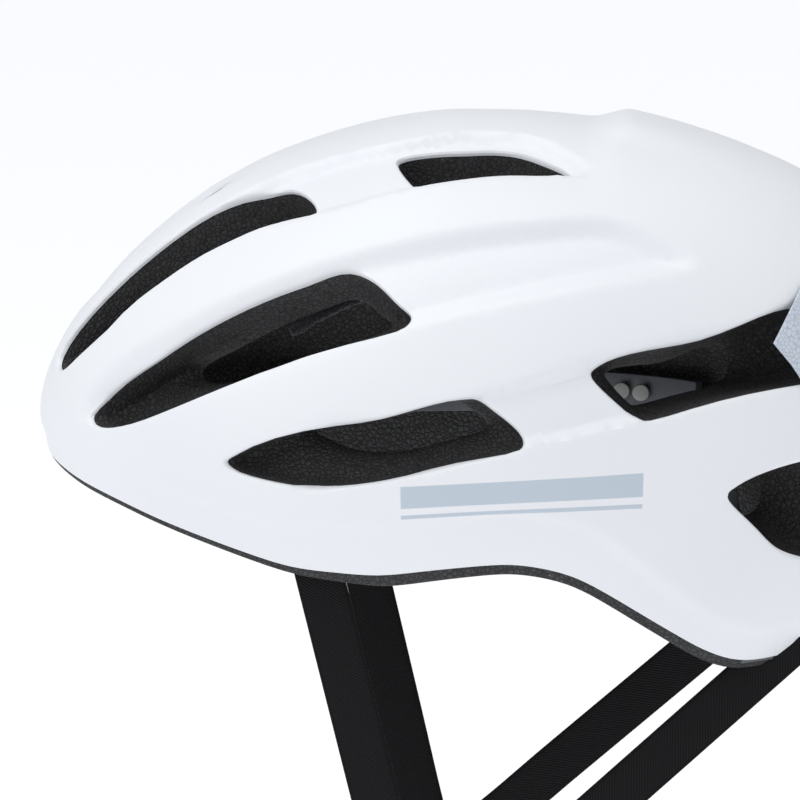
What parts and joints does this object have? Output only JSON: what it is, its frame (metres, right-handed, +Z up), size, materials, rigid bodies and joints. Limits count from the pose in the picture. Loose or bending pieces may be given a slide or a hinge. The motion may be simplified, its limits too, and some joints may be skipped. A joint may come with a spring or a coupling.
{
  "type": "cycling helmet",
  "caption": "Road cycling helmet with a vented white shell, black foam liner, dial-adjusted fit band and webbing that closes with a side-release chin buckle.",
  "frame": {"origin": "middle of the wearer's head at the height of the helmet's front rim, where a head holds the helmet", "axes": "+Z up through the crown, -Y the way the wearer looks, +X the wearer's left"},
  "size_m": [0.2056, 0.2871, 0.3634],
  "materials": {
    "shell_white": "matte white polycarbonate",
    "eps_black": "moulded black EPS foam",
    "reflective_panel": "satin grey-blue reflective film",
    "plastic_grey": "moulded dark grey nylon",
    "plastic_light": "moulded light grey acetal",
    "plastic_black": "moulded black acetal, fine spark texture",
    "rubber_black": "soft black rubber",
    "steel": "plain steel",
    "pad_dark": "charcoal knitted pad cloth over soft foam",
    "webbing_black": "black woven polyester webbing"
  },
  "bodies": {
    "helmet": {"outer_shell": "shell_white", "eps_liner": "eps_black", "rear_reflector_left": "reflective_panel", "rear_reflector_right": "reflective_panel", "strap_anchor_front_left": "plastic_grey", "strap_anchor_front_right": "plastic_grey", "strap_anchor_rear_left": "plastic_grey", "strap_anchor_rear_right": "plastic_grey", "crown_pad": "pad_dark", "side_pad_front_left": "pad_dark", "side_pad_front_right": "pad_dark", "side_pad_rear_left": "pad_dark", "side_pad_rear_right": "pad_dark", "headband_front": "plastic_grey", "brow_pad": "pad_dark", "pivot_pin_left": "plastic_light", "pivot_pin_right": "plastic_light", "strap_front_left": "webbing_black", "strap_front_right": "webbing_black", "strap_rear_left": "webbing_black", "strap_rear_right": "webbing_black", "strap_lower_left": "webbing_black", "chin_strap": "webbing_black", "strap_tail": "webbing_black", "buckle_socket": "plastic_black"},
    "cradle": {"side_plate_left": "plastic_grey", "side_plate_right": "plastic_grey", "detent_button_left": "plastic_light", "detent_button_right": "plastic_light", "dial_housing": "plastic_black", "housing_cover": "plastic_black", "nape_yoke": "plastic_grey", "nape_pad_left": "pad_dark", "nape_pad_right": "pad_dark"},
    "dial": {"dial_knob": "plastic_black", "dial_grip": "rubber_black", "drive_pinion": "plastic_light", "dial_screw": "steel"},
    "arm_left": {"fit_arm_left": "plastic_grey"},
    "arm_right": {"fit_arm_right": "plastic_grey"},
    "plug": {"buckle_plug": "plastic_black"},
    "prong_rear": {"buckle_prong_rear": "plastic_black"},
    "prong_front": {"buckle_prong_front": "plastic_black"},
    "divider_left": {"divider_left": "plastic_black", "lever_pin_left": "steel"},
    "divider_right": {"divider_right": "plastic_black", "lever_pin_right": "steel"},
    "lever_left": {"divider_lever_left": "plastic_black"},
    "lever_right": {"divider_lever_right": "plastic_black"},
    "keeper": {"tail_keeper": "rubber_black"}
  },
  "joints": [
    {"name": "cradle_tilt", "type": "hinge", "parent": "helmet", "child": "cradle", "pos_m": [0, 0.048, -0.0055], "axis": [-1, 0, 0], "range_deg": [0, 8]},
    {"name": "fit_dial_turn", "type": "hinge", "parent": "cradle", "child": "dial", "pos_m": [0, 0.095, -0.068], "axis": [0, -1, 0], "range_deg": [0, 120]},
    {"name": "arm_left_wrap", "type": "hinge", "parent": "cradle", "child": "arm_left", "pos_m": [0, 0.015, -0.0085], "axis": [0, 0, 1], "range_deg": [0, 6]},
    {"name": "arm_right_wrap", "type": "hinge", "parent": "cradle", "child": "arm_right", "pos_m": [0, 0.015, -0.0085], "axis": [0, 0, -1], "range_deg": [0, 6]},
    {"name": "buckle_release", "type": "slide", "parent": "helmet", "child": "plug", "axis": [-0.4695, 0, -0.8829], "range_m": [0, 0.028], "deforming": ["chin_strap", "strap_tail"]},
    {"name": "prong_rear_squeeze", "type": "hinge", "parent": "plug", "child": "prong_rear", "pos_m": [0.05395, -0.0052, -0.24194], "axis": [0.8829, 0, -0.4695], "range_deg": [0, 8], "stiffness_Nm_per_rad": 0.01},
    {"name": "prong_front_squeeze", "type": "hinge", "parent": "plug", "child": "prong_front", "pos_m": [0.05395, -0.024, -0.24194], "axis": [-0.8829, 0, 0.4695], "range_deg": [0, 8]},
    {"name": "divider_left_slide", "type": "slide", "parent": "helmet", "child": "divider_left", "axis": [0, 0, -1], "range_m": [0, 0.01]},
    {"name": "lever_left_lift", "type": "hinge", "parent": "divider_left", "child": "lever_left", "pos_m": [0.0775, -0.0134, -0.1715], "axis": [0, -1, 0], "range_deg": [0, 80]},
    {"name": "divider_right_slide", "type": "slide", "parent": "helmet", "child": "divider_right", "axis": [0, 0, -1], "range_m": [0, 0.01]},
    {"name": "lever_right_lift", "type": "hinge", "parent": "divider_right", "child": "lever_right", "pos_m": [-0.0775, -0.0134, -0.1715], "axis": [0, 1, 0], "range_deg": [0, 80]},
    {"name": "keeper_slide", "type": "slide", "parent": "helmet", "child": "keeper", "axis": [-1, 0, 0], "range_m": [0, 0.01]}
  ],
  "couplings": [
    {"joint": "arm_left_wrap", "follows": "fit_dial_turn", "ratio": 0.05},
    {"joint": "arm_right_wrap", "follows": "fit_dial_turn", "ratio": 0.05},
    {"joint": "prong_front_squeeze", "follows": "prong_rear_squeeze", "ratio": 1}
  ]
}
